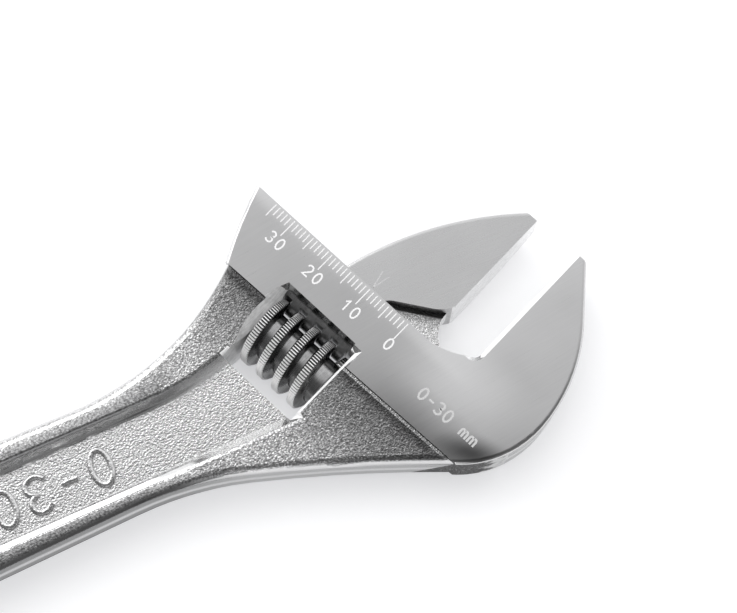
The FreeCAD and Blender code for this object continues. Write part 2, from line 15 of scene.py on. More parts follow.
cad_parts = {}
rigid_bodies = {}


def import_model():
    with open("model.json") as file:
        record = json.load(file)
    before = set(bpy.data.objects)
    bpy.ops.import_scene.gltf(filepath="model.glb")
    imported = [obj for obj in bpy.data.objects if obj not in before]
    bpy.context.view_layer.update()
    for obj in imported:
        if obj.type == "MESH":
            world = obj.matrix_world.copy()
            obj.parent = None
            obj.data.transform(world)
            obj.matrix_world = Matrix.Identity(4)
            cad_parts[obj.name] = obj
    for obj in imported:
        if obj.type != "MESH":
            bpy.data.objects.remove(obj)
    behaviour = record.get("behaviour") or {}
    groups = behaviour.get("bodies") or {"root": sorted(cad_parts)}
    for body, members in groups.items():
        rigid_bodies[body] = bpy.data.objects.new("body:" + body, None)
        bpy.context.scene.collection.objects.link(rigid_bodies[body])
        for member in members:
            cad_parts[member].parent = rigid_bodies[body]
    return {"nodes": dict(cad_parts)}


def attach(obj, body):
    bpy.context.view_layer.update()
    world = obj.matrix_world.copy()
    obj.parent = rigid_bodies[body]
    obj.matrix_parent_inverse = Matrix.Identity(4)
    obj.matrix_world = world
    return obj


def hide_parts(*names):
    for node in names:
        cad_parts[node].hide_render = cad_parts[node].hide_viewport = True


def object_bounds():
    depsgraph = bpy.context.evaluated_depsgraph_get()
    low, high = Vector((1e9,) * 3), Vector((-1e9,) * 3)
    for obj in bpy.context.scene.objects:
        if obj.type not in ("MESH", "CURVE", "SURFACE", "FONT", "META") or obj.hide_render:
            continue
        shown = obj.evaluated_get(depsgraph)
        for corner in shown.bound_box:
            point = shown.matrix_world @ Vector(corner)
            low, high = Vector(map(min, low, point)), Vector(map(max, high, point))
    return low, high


MM = 0.001

for leftover in list(bpy.data.objects):
    bpy.data.objects.remove(leftover)

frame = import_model()
CAD_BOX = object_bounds()

# ---------------------------------------------------------------- the jaw frame and the sizes reused here
JAW_ORIGIN = (212.8, -12.15, 0.0)
JAW_TURN = math.radians(-67.5)
JAW_FRAME = Matrix.Translation(Vector(JAW_ORIGIN)) @ Matrix.Rotation(JAW_TURN, 4, "Z")
FRONT = 7.0
JAW_FRONT = 6.1
RECESS_FLOOR = 4.1
HEAD_STEP_LEFT = (-48.3, -15.4)
HEAD_STEP_RIGHT = (10.75, -13.9)
SCALE_ZERO = -14.03

LEAD = 4.13
CREST_STATION = -27.1
KNURL_DROP = 19.1
KNURL_LEFT = -35.5
KNURL_RIGHT = -17.9
KNURL_RADIUS = 7.3
THREAD_ROOT = 4.7
CREST_WIDTH = 1.6
ROOT_GROOVE = 1.9


def from_jaw(s, h, z):
    """A point of the jaw frame, in millimetres, as a point of the row frame in metres."""
    return (JAW_FRAME @ Vector((s, h, z))) * MM


def from_row(x, y, z):
    return Vector((x, y, z)) * MM


# ---------------------------------------------------------------- materials
class Metal:
    """A node-built metal. Heights are in millimetres, on coordinates in millimetres."""

    def __init__(self, name, base=0.8, roughness=0.3, metallic=1.0):
        self.material = bpy.data.materials.new(name)
        self.material.use_nodes = True
        self.tree = self.material.node_tree
        self.tree.nodes.clear()
        output = self.node("ShaderNodeOutputMaterial")
        self.shader = self.node("ShaderNodeBsdfPrincipled")
        self.shader.inputs["Base Color"].default_value = (base, base, base, 1)
        self.shader.inputs["Metallic"].default_value = metallic
        self.shader.inputs["Roughness"].default_value = roughness
        self.join(self.shader.outputs["BSDF"], output.inputs["Surface"])
        coordinates = self.node("ShaderNodeTexCoord")
        scaled = self.node("ShaderNodeVectorMath", operation="SCALE")
        scaled.inputs["Scale"].default_value = 1 / MM
        self.join(coordinates.outputs["Object"], scaled.inputs[0])
        self.row = scaled.outputs[0]
        self.normal = self.parts(coordinates.outputs["Normal"])

    def node(self, kind, **settings):
        made = self.tree.nodes.new(kind)
        for name, value in settings.items():
            setattr(made, name, value)
        return made

    def join(self, source, target):
        self.tree.links.new(source, target)

    def feed(self, target, value):
        """Connects a socket, or sets a plain number."""
        if isinstance(value, (int, float)):
            target.default_value = value
        else:
            self.join(value, target)

    def parts(self, vector):
        split = self.node("ShaderNodeSeparateXYZ")
        self.join(vector, split.inputs[0])
        return split.outputs

    def calc(self, operation, first, second=0.0):
        made = self.node("ShaderNodeMath", operation=operation)
        self.feed(made.inputs[0], first)
        self.feed(made.inputs[1], second)
        return made.outputs[0]

    def times(self, first, second):
        return self.calc("MULTIPLY", first, second)

    def plus(self, first, second):
        return self.calc("ADD", first, second)

    def minus(self, first, second):
        return self.calc("SUBTRACT", first, second)

    def size_of(self, value):
        return self.calc("ABSOLUTE", value)

    def square(self, value):
        return self.calc("MULTIPLY", value, value)

    def step(self, value, low, high):
        """0 below low, 1 above high, smooth between; low may be the larger one."""
        made = self.node("ShaderNodeMapRange", interpolation_type="SMOOTHSTEP")
        self.feed(made.inputs["Value"], value)
        rising = low < high
        made.inputs["From Min"].default_value = min(low, high)
        made.inputs["From Max"].default_value = max(low, high)
        made.inputs["To Min"].default_value = 0.0 if rising else 1.0
        made.inputs["To Max"].default_value = 1.0 if rising else 0.0
        return made.outputs[0]

    def blend(self, share, first, second):
        """first where share is 0, second where it is 1."""
        made = self.node("ShaderNodeMix", data_type="FLOAT")
        self.feed(made.inputs[0], share)
        self.feed(made.inputs[2], first)
        self.feed(made.inputs[3], second)
        return made.outputs[0]

    def placed(self, vector, scale=(1, 1, 1), turn=0.0, shift=(0, 0, 0)):
        made = self.node("ShaderNodeMapping")
        self.join(vector, made.inputs["Vector"])
        made.inputs["Scale"].default_value = scale
        made.inputs["Rotation"].default_value = (0, 0, turn)
        made.inputs["Location"].default_value = shift
        return made.outputs[0]

    def jaw(self):
        """Jaw-frame coordinates in millimetres."""
        back = Matrix.Rotation(-JAW_TURN, 4, "Z") @ Vector(JAW_ORIGIN)
        return self.placed(self.row, turn=-JAW_TURN, shift=tuple(-back))

    def noise(self, vector, scale, detail=2.0, roughness=0.5):
        made = self.node("ShaderNodeTexNoise")
        self.join(vector, made.inputs["Vector"])
        made.inputs["Scale"].default_value = scale
        made.inputs["Detail"].default_value = detail
        made.inputs["Roughness"].default_value = roughness
        return made.outputs["Fac"]

    def cells(self, vector, scale):
        made = self.node("ShaderNodeTexVoronoi", feature="SMOOTH_F1")
        self.join(vector, made.inputs["Vector"])
        made.inputs["Scale"].default_value = scale
        made.inputs["Smoothness"].default_value = 0.6
        return made.outputs["Distance"]

    def brushing(self, turn=0.0, length=7.0, spacing=0.13):
        """Fine straight scratches along the row's first axis, turned by turn."""
        turned = self.placed(self.row, turn=-turn)
        fine = self.placed(turned, scale=(1 / length, 1 / spacing, 1 / spacing))
        broad = self.placed(turned, scale=(0.5 / length, 0.3 / spacing, 0.3 / spacing))
        thin = self.times(self.noise(fine, 1.0, 3.0, 0.6), 0.7)
        thick = self.times(self.noise(broad, 1.0, 2.0, 0.5), 0.3)
        return self.plus(thin, thick)

    def grain(self, size):
        """Height in millimetres of a cast, shot-blasted skin with bumps of that size."""
        bumps = self.times(self.cells(self.row, 1 / size), 0.22 * size)
        pits = self.times(self.noise(self.row, 1.3 / size, 3.0, 0.6), 0.34 * size)
        return self.plus(bumps, pits)

    def patch(self, jaw, centre, reach, turn=0.0):
        """1 at a point of the jaw frame, fading to 0 on an ellipse round it, turned by turn degrees."""
        right = self.minus(jaw[0], centre[0])
        up = self.minus(jaw[1], centre[1])
        cosine, sine = math.cos(math.radians(turn)), math.sin(math.radians(turn))
        total = None
        for (a, b), length in zip(((cosine, sine), (-sine, cosine)), reach):
            part = self.plus(self.times(right, a / length), self.times(up, b / length))
            square = self.square(part)
            total = square if total is None else self.plus(total, square)
        return self.step(self.calc("SQRT", total), 1.0, 0.0)

    def dim_grazing(self, level):
        """Weakens the reflection at grazing angles to that level."""
        self.shader.inputs["Specular Tint"].default_value = (level, level, level, 1)

    def surface(self, height=None, roughness=None, shade=None):
        """Connects a height, a roughness and a grey level to the shader."""
        if height is not None:
            bump = self.node("ShaderNodeBump")
            bump.inputs["Strength"].default_value = 1.0
            bump.inputs["Distance"].default_value = MM
            self.join(height, bump.inputs["Height"])
            self.join(bump.outputs["Normal"], self.shader.inputs["Normal"])
        if roughness is not None:
            self.join(roughness, self.shader.inputs["Roughness"])
        if shade is not None:
            colour = self.node("ShaderNodeCombineColor")
            for channel in colour.inputs:
                self.feed(channel, shade)
            self.join(colour.outputs[0], self.shader.inputs["Base Color"])
        return self.material


def span(metal, noise, low, high):
    """Stretches a noise of about 0.3 to 0.7 to the range low to high."""
    made = metal.node("ShaderNodeMapRange")
    metal.feed(made.inputs["Value"], noise)
    made.inputs["From Min"].default_value = 0.3
    made.inputs["From Max"].default_value = 0.7
    made.inputs["To Min"].default_value = low
    made.inputs["To Max"].default_value = high
    return made.outputs[0]


class BodyZones:
    """Where each zone of the handle and head lies: shares from 0 to 1, and distances in millimetres."""

    def __init__(self, metal):
        self.along, self.across, out = metal.parts(metal.row)
        self.jaw = metal.parts(metal.jaw())
        self.depth = metal.size_of(out)
        facing = metal.size_of(metal.normal[2])
        rise = (HEAD_STEP_RIGHT[1] - HEAD_STEP_LEFT[1]) / (HEAD_STEP_RIGHT[0] - HEAD_STEP_LEFT[0])
        foot = HEAD_STEP_LEFT[1] - rise * HEAD_STEP_LEFT[0]
        line = metal.plus(metal.times(self.jaw[0], rise), foot)
        self.above_step = metal.minus(self.jaw[1], line)
        self.satin = metal.step(self.above_step, -0.05, 0.05)
        self.sunk = metal.step(self.depth, 5.2, 4.6)
        self.turned_over = metal.step(facing, 0.88, 0.55)
        self.upper_side = metal.times(self.turned_over, metal.step(metal.normal[1], 0.2, 0.4))
        self.lower_side = metal.times(metal.step(facing, 0.8, 0.4), metal.step(metal.normal[1], -0.1, -0.5))
        self.on_handle = metal.step(self.along, 172.0, 150.0)
        self.on_rim = metal.times(metal.step(self.depth, 4.4, 5.0), self.on_handle)
        inside = metal.step(metal.size_of(self.across), 8.9, 8.4)
        wall = metal.times(metal.step(facing, 0.93, 0.8), inside)
        self.recess_wall = metal.times(wall, metal.times(self.on_handle, metal.step(self.depth, 4.1, 4.6)))


def rim_roll(metal, zones):
    """Height of the handle's two rims, each gently rolled over between the recess and the outer side."""
    rim_middle = 8.6
    past = metal.calc("MAXIMUM", metal.minus(zones.along, 146.0), 0.0)
    middle = metal.plus(metal.times(metal.square(past), 0.018), rim_middle)
    off = metal.calc("MAXIMUM", metal.minus(metal.size_of(zones.across), middle), -3.4)
    roll = metal.times(metal.square(off), -0.035)
    # The lower rim falls away more gently on both of its sides.
    fallen = metal.calc("MINIMUM", metal.calc("MAXIMUM", metal.minus(FRONT, zones.depth), 0.0), 2.3)
    lower = metal.calc("LESS_THAN", zones.across, 0.0)
    roll = metal.plus(roll, metal.times(fallen, metal.times(lower, 0.9)))
    ends = metal.times(metal.step(zones.along, 22.0, 34.0), metal.step(zones.along, 170.0, 150.0))
    return metal.times(roll, ends)


def body_height(metal, zones, brushed):
    """Height of the skin: brushed flats, cast grain, smooth metal where the skin turns over."""
    grain = metal.times(metal.grain(0.37), metal.blend(zones.on_rim, 1.0, 0.28))
    smooth = metal.times(metal.noise(metal.row, 0.9, 3.0), 0.012)
    # Grinding has rolled the flat off a little towards the heel's end of the step.
    near_step = metal.square(metal.calc("MAXIMUM", metal.minus(8.0, zones.above_step), 0.0))
    rolled = metal.times(near_step, metal.step(zones.jaw[0], -20.0, 4.0))
    ground = metal.plus(metal.times(brushed, 0.004), metal.times(rolled, -0.008))
    height = metal.blend(zones.satin, metal.blend(zones.turned_over, grain, smooth), ground)
    height = metal.blend(zones.turned_over, height, smooth)
    return metal.blend(zones.on_rim, height, metal.plus(height, rim_roll(metal, zones)))


def body_gloss(metal, zones, brushed):
    """Roughness of the skin, smoothest on the grain's plating and on the edges."""
    satin_gloss = span(metal, brushed, 0.27, 0.35)
    grain_gloss = span(metal, metal.noise(metal.row, 1.1, 2.0), 0.14, 0.26)
    edge_gloss = span(metal, metal.noise(metal.row, 0.5, 3.0), 0.14, 0.24)
    gloss = metal.blend(zones.satin, grain_gloss, satin_gloss)
    return metal.blend(zones.turned_over, gloss, edge_gloss)


def ground_shade(metal, zones, brushed):
    """Shade of the ground flats, with painted reflections: lighter in front of the throat, along the scale
    and up the jaw, darker at the heel.
    """
    jaw = zones.jaw
    cloudy = metal.noise(metal.row, 0.06, 2.0)
    # Painted reflections: light patches in front of the throat, along the scale's edge and up the jaw.
    throat = metal.times(metal.patch(jaw, (2.0, -3.0), (19.0, 12.0)), 0.27)
    scale_edge = metal.times(metal.step(jaw[1], -3.4, -0.8), metal.step(jaw[0], 6.0, -8.0))
    upper_jaw = metal.times(metal.step(jaw[1], -6.0, 6.0), 0.15)
    painted_reflection = metal.plus(metal.plus(throat, metal.times(scale_edge, 0.1)), upper_jaw)
    shade = metal.plus(span(metal, brushed, 0.52, 0.57), painted_reflection)
    # Painted reflection: a dark patch on the flat at the heel.
    heel = metal.times(metal.patch(jaw, (11.5, -10.4), (10.5, 4.2), 27.0), -0.75)
    shade = metal.times(shade, metal.plus(heel, 1.0))
    return metal.times(shade, span(metal, cloudy, 0.96, 1.04))


def cast_shade(metal, zones):
    """Shade of the cast skin, with painted shade that darkens it towards the step below the head."""
    speckle = metal.noise(metal.row, 2.4, 2.0)
    # Painted shade: darker towards the step, and darker still just under it, short of the heel.
    painted_step_shade = metal.times(metal.step(zones.above_step, -24.0, -1.0), -0.66)
    shade = metal.times(span(metal, speckle, 0.3, 0.95), metal.plus(painted_step_shade, 1.0))
    painted_shade_under_step = metal.times(metal.step(zones.above_step, -3.2, -0.9), metal.step(zones.jaw[0], 9.0, 3.0))
    shade = metal.times(shade, metal.blend(painted_shade_under_step, 1.0, 0.4))
    shade = metal.blend(zones.sunk, shade, span(metal, speckle, 0.58, 0.84))
    # A narrow line under the step stands in for its edge: a painted highlight beside the heel, a painted
    # shade line at the shank's end.
    lower_edge = metal.step(zones.above_step, -0.75, -0.6)
    painted_step_line = metal.times(lower_edge, metal.step(zones.above_step, -0.05, -0.15))
    step_line_highlight_and_shade = metal.blend(metal.step(zones.jaw[0], -36.0, -18.0), 0.12, 0.5)
    return metal.blend(painted_step_line, shade, step_line_highlight_and_shade)


def body_chrome():
    """Chrome of the handle and the head: its flats are ground, its cast skin and its sides are not."""
    metal = Metal("chrome_body_skin")
    metal.dim_grazing(0.7)
    zones = BodyZones(metal)
    brushed = metal.brushing(turn=math.radians(6))
    shade = metal.blend(zones.satin, cast_shade(metal, zones), ground_shade(metal, zones, brushed))
    shade = metal.blend(zones.turned_over, shade, 0.76)
    # Painted light: turned-over faces that face +Y are lighter.
    shade = metal.blend(zones.upper_side, shade, 0.95)
    # Painted shade: the recess walls darken towards the recess floor.
    painted_wall_shade = metal.blend(metal.step(zones.depth, 4.4, 6.8), 0.72, 1.0)
    shade = metal.blend(zones.recess_wall, shade, painted_wall_shade)
    # Painted shade darkens the sides that face -Y, more on the handle than at the head; a bright line stays
    # along the parting line in the middle of the side, the trimmed flash real and its brightness a painted
    # highlight.
    parting_line_highlight = metal.step(zones.depth, 2.2, 0.3)
    painted_side_shade = metal.blend(
        zones.on_handle, metal.blend(parting_line_highlight, 0.6, 1.0), metal.blend(parting_line_highlight, 0.3, 1.0)
    )
    shade = metal.blend(zones.lower_side, shade, painted_side_shade)
    return metal.surface(body_height(metal, zones, brushed), body_gloss(metal, zones, brushed), shade)


def jaw_chrome():
    """Satin flats, cast grain on the thin web, smooth rounded rims."""
    metal = Metal("chrome_jaw_skin")
    depth = metal.size_of(metal.parts(metal.row)[2])
    facing = metal.size_of(metal.normal[2])
    web = metal.step(depth, 3.2, 2.9)
    turned_over = metal.step(facing, 0.93, 0.75)

    brushed = metal.brushing(turn=math.radians(-2))
    cast = metal.grain(0.32)
    height = metal.blend(web, metal.times(brushed, 0.005), cast)
    gloss = metal.blend(web, span(metal, brushed, 0.24, 0.34), 0.22)
    gloss = metal.blend(turned_over, gloss, 0.2)
    cloudy = metal.noise(metal.row, 0.06, 2.0)
    satin_shade = metal.times(span(metal, brushed, 0.60, 0.66), span(metal, cloudy, 0.96, 1.04))
    s, h, _ = metal.parts(metal.jaw())
    web_shade = span(metal, metal.noise(metal.row, 2.4, 2.0), 0.55, 1.0)
    # Painted shade: a dark band in the corner under the jaw's heel, where the web is likely deeper.
    heel_line = metal.times(metal.plus(s, 21.4), 0.617)
    over_heel = metal.minus(h, heel_line)
    web_shade = metal.blend(metal.step(over_heel, -1.2, -0.8), web_shade, 0.07)
    shade = metal.blend(web, satin_shade, web_shade)
    shade = metal.blend(turned_over, shade, 0.8)
    return metal.surface(height, gloss, shade)


def machined_steel(name, shade_low, shade_high, roughness, across="s", metallic=1.0, grazing=1.0):
    """Cut steel with tool marks: fine lines across the jaw's slide, or round about."""
    metal = Metal(name, metallic=metallic)
    metal.dim_grazing(grazing)
    stretch = (8.0, 0.25, 0.25) if across == "s" else (0.25, 0.25, 8.0)
    lines = metal.noise(metal.placed(metal.jaw(), scale=stretch), 1.0, 3.0, 0.6)
    blotches = metal.noise(metal.row, 0.8, 3.0, 0.6)
    shade = metal.times(span(metal, blotches, shade_low, shade_high), span(metal, lines, 0.85, 1.1))
    height = metal.times(lines, 0.015)
    gloss = metal.blend(lines, roughness * 0.75, roughness * 1.25)
    return metal.surface(height, gloss, shade)


def heel_skin():
    """Grain on the heel's side, darkened with painted shade, with a few bright grains."""
    metal = Metal("heel_skin", metallic=0.0)
    metal.shader.inputs["Specular IOR Level"].default_value = 0.1
    grains = metal.noise(metal.row, 3.0, 3.0, 0.6)
    # Painted shade: nearly black below a ragged line, lighter above it.
    shade = metal.blend(metal.step(grains, 0.5, 0.68), 0.03, 0.4)
    ragged = metal.plus(metal.parts(metal.jaw())[1], span(metal, metal.noise(metal.row, 0.5), -2.0, 2.0))
    shade = metal.blend(metal.step(ragged, -9.6, -6.8), shade, 0.75)
    return metal.surface(metal.grain(0.35), span(metal, grains, 0.4, 0.6), shade)


def mark_chrome():
    """The raised mark's skin, softer than the grain round it."""
    metal = Metal("mark_chrome")
    return metal.surface(
        metal.times(metal.grain(0.5), 0.5),
        span(metal, metal.noise(metal.row, 0.9, 2.0), 0.16, 0.3),
        span(metal, metal.noise(metal.row, 1.6, 2.0), 0.7, 0.88),
    )


def paint(name, shade, roughness):
    """Pale etched or filled mark with a slightly uneven face."""
    metal = Metal(name, metallic=0.0)
    speckle = metal.noise(metal.row, 6.0, 3.0, 0.6)
    return metal.surface(
        metal.times(speckle, 0.01),
        span(metal, speckle, roughness - 0.08, roughness + 0.08),
        span(metal, speckle, shade - 0.06, shade + 0.04),
    )


def floor_paper():
    """Pale paper on a light table, so that shadows on it stay soft and light."""
    metal = Metal("floor_paper", metallic=0.0, roughness=0.9)
    metal.shader.inputs["Emission Color"].default_value = (0.97, 0.975, 1.0, 1)
    metal.shader.inputs["Emission Strength"].default_value = 0.45
    speckle = metal.noise(metal.row, 0.02, 3.0)
    return metal.surface(shade=span(metal, speckle, 0.53, 0.55))


BODY_CHROME = body_chrome()
JAW_CHROME = jaw_chrome()
MARK_CHROME = mark_chrome()
BORE_STEEL = machined_steel("bore_steel", 0.3, 0.5, 0.38)
WINDOW_STEEL = machined_steel("window_steel", 0.6, 0.95, 0.5, metallic=0.6)
SCOOP_STEEL = machined_steel("scoop_steel", 0.7, 0.98, 0.5, metallic=0.15)
# Painted highlight: the bevels take a nearly white, mostly unmetallic finish.
BEVEL_HIGHLIGHT = machined_steel("bevel_painted_highlight", 0.93, 1.0, 0.3, across="z", metallic=0.2)
HEEL_SKIN = heel_skin()
GRIP_CHROME = machined_steel("grip_chrome", 0.72, 0.86, 0.24, across="z")
RACK_STEEL = machined_steel("rack_steel", 0.3, 0.5, 0.3)
THREAD_STEEL = machined_steel("thread_steel", 0.34, 0.48, 0.2, grazing=0.35)
# Painted light on the knurl's serrations: a painted highlight on their tops and rising faces, painted shade
# on their falling faces and valleys.
CREST_HIGHLIGHT_STEEL = machined_steel("crest_painted_highlight", 0.95, 1.0, 0.3, metallic=0.55, grazing=0.3)
GROOVE_SHADE_STEEL = machined_steel("groove_painted_shade", 0.1, 0.2, 0.3)
PIN_STEEL = machined_steel("pin_steel", 0.5, 0.66, 0.26)
SPRING_STEEL = machined_steel("spring_steel", 0.4, 0.55, 0.24)
SCALE_WHITE = paint("scale_white", 0.7, 0.5)
ETCH_GREY = paint("etch_grey", 0.46, 0.45)
INDEX_GREY = paint("index_grey", 0.5, 0.45)


# ---------------------------------------------------------------- which CAD faces take which material
TO_JAW = JAW_FRAME.inverted()


def jaw_point(point):
    return TO_JAW @ (point / MM)


def dress(node, materials, choose):
    """Gives each face of a CAD node the material that choose(centre, normal) names."""
    mesh = frame["nodes"][node].data
    names = list(materials)
    mesh.materials.clear()
    for name in names:
        mesh.materials.append(materials[name])
    turn = TO_JAW.to_3x3()
    for face in mesh.polygons:
        face.material_index = names.index(choose(jaw_point(face.center), turn @ face.normal))


RAIL_DROP = 9.2
RAIL_BORE = 4.96
RAIL_BORE_END = -5.0


def frame_face(centre, normal):
    s, h, z = centre
    in_bore = math.hypot(h + RAIL_DROP, z) < RAIL_BORE and -56 < s < RAIL_BORE_END
    in_slot = abs(z) < 3.0 and -RAIL_DROP < h < -0.01 and s < RAIL_BORE_END
    in_window = -39.5 < s < -17.0 and -29.2 < h < -11.0 and abs(normal.z) < 0.97
    on_grip = abs(s) < 0.9 and h > 4.6 and normal.x < -0.5
    on_bevel = 0.2 < abs(normal.z) < 0.97
    on_heel = s > 8.0 and h < -5.0 and abs(normal.z) < 0.2
    if in_bore or in_slot:
        return "bore"
    if in_window and s > -19.5 and on_bevel:
        return "bevel"
    if in_window:
        return "scoop" if s < -33.0 else "window"
    if on_grip:
        return "bevel" if on_bevel else "grip"
    if on_heel:
        return "heel"
    return "skin"


def jaw_face(centre, normal):
    s, h, z = centre
    if h < -4.0 or (normal.y < -0.5 and h < 9.0):
        return "rack"
    if normal.x > 0.9 and h > 3.0:
        return "grip"
    return "skin"


dress(
    "handle_and_fixed_jaw",
    {
        "skin": BODY_CHROME,
        "bore": BORE_STEEL,
        "window": WINDOW_STEEL,
        "scoop": SCOOP_STEEL,
        "bevel": BEVEL_HIGHLIGHT,
        "grip": GRIP_CHROME,
        "heel": HEEL_SKIN,
    },
    frame_face,
)
dress("movable_jaw", {"skin": JAW_CHROME, "rack": RACK_STEEL, "grip": GRIP_CHROME}, jaw_face)
dress("knurl_pin", {"steel": PIN_STEEL}, lambda centre, normal: "steel")
dress("knurl_spring", {"steel": SPRING_STEEL}, lambda centre, normal: "steel")


# ---------------------------------------------------------------- new pieces
def finish_piece(name, mesh_data, materials, body, sharp=None):
    """Makes an object of a bmesh, in the row frame, riding on a body."""
    mesh = bpy.data.meshes.new(name)
    bmesh.ops.recalc_face_normals(mesh_data, faces=mesh_data.faces)
    mesh_data.to_mesh(mesh)
    mesh_data.free()
    for material in materials:
        mesh.materials.append(material)
    if sharp is not None:
        mesh.shade_smooth()
        mesh.set_sharp_from_angle(angle=math.radians(sharp))
    piece = bpy.data.objects.new(name, mesh)
    bpy.context.collection.objects.link(piece)
    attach(piece, body)
    return piece


def ribbon(mesh, points, width, place, low, high, closed=False):
    """A flat closed strip along points, between the heights low and high."""
    count = len(points)
    rings = []
    for i, point in enumerate(points):
        before = points[(i - 1) % count] if closed or i > 0 else point
        after = points[(i + 1) % count] if closed or i < count - 1 else point
        arrive = (Vector(point) - Vector(before)).normalized() if point != before else None
        leave = (Vector(after) - Vector(point)).normalized() if point != after else None
        along = ((arrive or leave) + (leave or arrive)).normalized()
        half = width / 2
        if arrive is not None and leave is not None:
            half /= max(0.5, along.dot(leave))
        side = Vector((-along.y, along.x)) * half
        left, right = Vector(point) + side, Vector(point) - side
        corners = [(left, high), (right, high), (right, low), (left, low)]
        rings.append([mesh.verts.new(place(spot.x, spot.y, z)) for spot, z in corners])
    pairs = list(zip(rings, rings[1:]))
    if closed:
        pairs.append((rings[-1], rings[0]))
    for first, second in pairs:
        for k in range(4):
            m = (k + 1) % 4
            mesh.faces.new((first[k], first[m], second[m], second[k]))
    if not closed:
        mesh.faces.new(rings[0])
        mesh.faces.new(list(reversed(rings[-1])))


def arc(x, y, rx, ry, start, end, steps=14):
    """Points on an ellipse from one angle to another, in degrees."""
    angles = [math.radians(start + (end - start) * i / steps) for i in range(steps + 1)]
    return [(x + rx * math.cos(a), y + ry * math.sin(a)) for a in angles]


# Strokes of each character on a cell 0.6 wide and 1 high: (points, closed).
STROKES = {
    "0": [(arc(0.3, 0.5, 0.25, 0.46, 0, 345, 23), True)],
    "1": [([(0.1, 0.72), (0.36, 0.96), (0.36, 0.04)], False)],
    "2": [(arc(0.3, 0.7, 0.25, 0.26, 165, -40) + [(0.05, 0.04), (0.56, 0.04)], False)],
    "3": [(arc(0.27, 0.73, 0.24, 0.23, 155, -80) + arc(0.27, 0.27, 0.27, 0.23, 80, -155), False)],
    "-": [([(0.08, 0.5), (0.5, 0.5)], False)],
    "m": [
        ([(0.04, 0.04)] + arc(0.18, 0.44, 0.14, 0.18, 180, 0, 8) + [(0.32, 0.04)], False),
        (arc(0.46, 0.44, 0.14, 0.18, 140, 0, 8) + [(0.6, 0.04)], False),
    ],
    " ": [],
}


def strokes_of(text, height, advance):
    """Strokes of a line of characters, with its middle at zero and its feet at zero."""
    width = advance * (len(text) - 1) + 0.6 * height
    for i, character in enumerate(text):
        for points, closed in STROKES[character]:
            start = i * advance - width / 2
            yield [(start + x * height, y * height) for x, y in points], closed


# Graduations: one a millimetre, longer at fives and tens.
GRADUATIONS = 36
TICK_LENGTHS = {0: 4.4, 5: 3.4}
SHORT_TICK = 2.4
TICK_START = -0.35
MARK_LOW = FRONT - 0.02
MARK_HIGH = FRONT + 0.02
ticks = bmesh.new()
for k in range(GRADUATIONS):
    reach = TICK_LENGTHS.get(k % 10, SHORT_TICK)
    station = SCALE_ZERO - k
    ribbon(ticks, [(station, TICK_START), (station, -reach)], 0.22, from_jaw, MARK_LOW, MARK_HIGH)
finish_piece("scale_ticks", ticks, [SCALE_WHITE], "frame")

NUMBER_FOOT = -7.0
numbers = bmesh.new()
for value in (0, 10, 20, 30):
    for points, closed in strokes_of(str(value), 2.5, 2.35):
        moved = [(SCALE_ZERO - value + x, NUMBER_FOOT + y) for x, y in points]
        ribbon(numbers, moved, 0.34, from_jaw, MARK_LOW, MARK_HIGH, closed)
finish_piece("scale_numbers", numbers, [SCALE_WHITE], "frame")

RANGE_PLACE = (3.6, -9.6)
ETCH_HIGH = FRONT + 0.015
range_etch = bmesh.new()
for points, closed in strokes_of("0-30 mm", 2.6, 2.1):
    moved = [(RANGE_PLACE[0] + x, RANGE_PLACE[1] + y) for x, y in points]
    ribbon(range_etch, moved, 0.42, from_jaw, MARK_LOW, ETCH_HIGH, closed)
finish_piece("range_etch", range_etch, [ETCH_GREY], "frame")

# The index is a thin V on the movable jaw, its point at the scale's 10.
INDEX_POINT = (SCALE_ZERO - 10, 0.5)
index_mark = bmesh.new()
for tip in ((-24.9, 4.2), (-23.2, 4.15)):
    ribbon(index_mark, [INDEX_POINT, tip], 0.14, from_jaw, JAW_FRONT - 0.02, JAW_FRONT + 0.015)
finish_piece("opening_index", index_mark, [INDEX_GREY], "jaw")


CAST_STROKE_RADIUS = 0.62


def cast_mark(name, text, height, advance, centre_x, foot_y):
    """Raised characters with rounded strokes on the recess floor, read from the head's side."""
    data = bpy.data.curves.new(name, "CURVE")
    data.dimensions = "3D"
    data.bevel_depth = CAST_STROKE_RADIUS * MM
    data.bevel_resolution = 3
    data.use_fill_caps = True
    for points, closed in strokes_of(text, height, advance):
        spline = data.splines.new("POLY")
        spline.points.add(len(points) - 1)
        for spot, (x, y) in zip(spline.points, points):
            spot.co = (*from_row(centre_x - x, foot_y - y, RECESS_FLOOR - 0.02), 1)
        spline.use_cyclic_u = closed
    maker = bpy.data.objects.new(name + "_maker", data)
    bpy.context.collection.objects.link(maker)
    bpy.context.view_layer.update()
    mesh = bpy.data.meshes.new_from_object(maker)
    bpy.data.objects.remove(maker)
    mesh.name = name
    mesh.materials.clear()
    mesh.materials.append(MARK_CHROME)
    mesh.shade_smooth()
    piece = bpy.data.objects.new(name, mesh)
    bpy.context.collection.objects.link(piece)
    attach(piece, "frame")


cast_mark("range_mark", "0-30", 7.6, 6.4, 133.8, 3.5)


# ---------------------------------------------------------------- the knurl
TEETH = 76
TOOTH_STEPS = (0.0, 0.0, 1.0, 0.8)
STEPS_PER_TURN = TEETH * len(TOOTH_STEPS)
TOOTH_DEPTH = 0.3


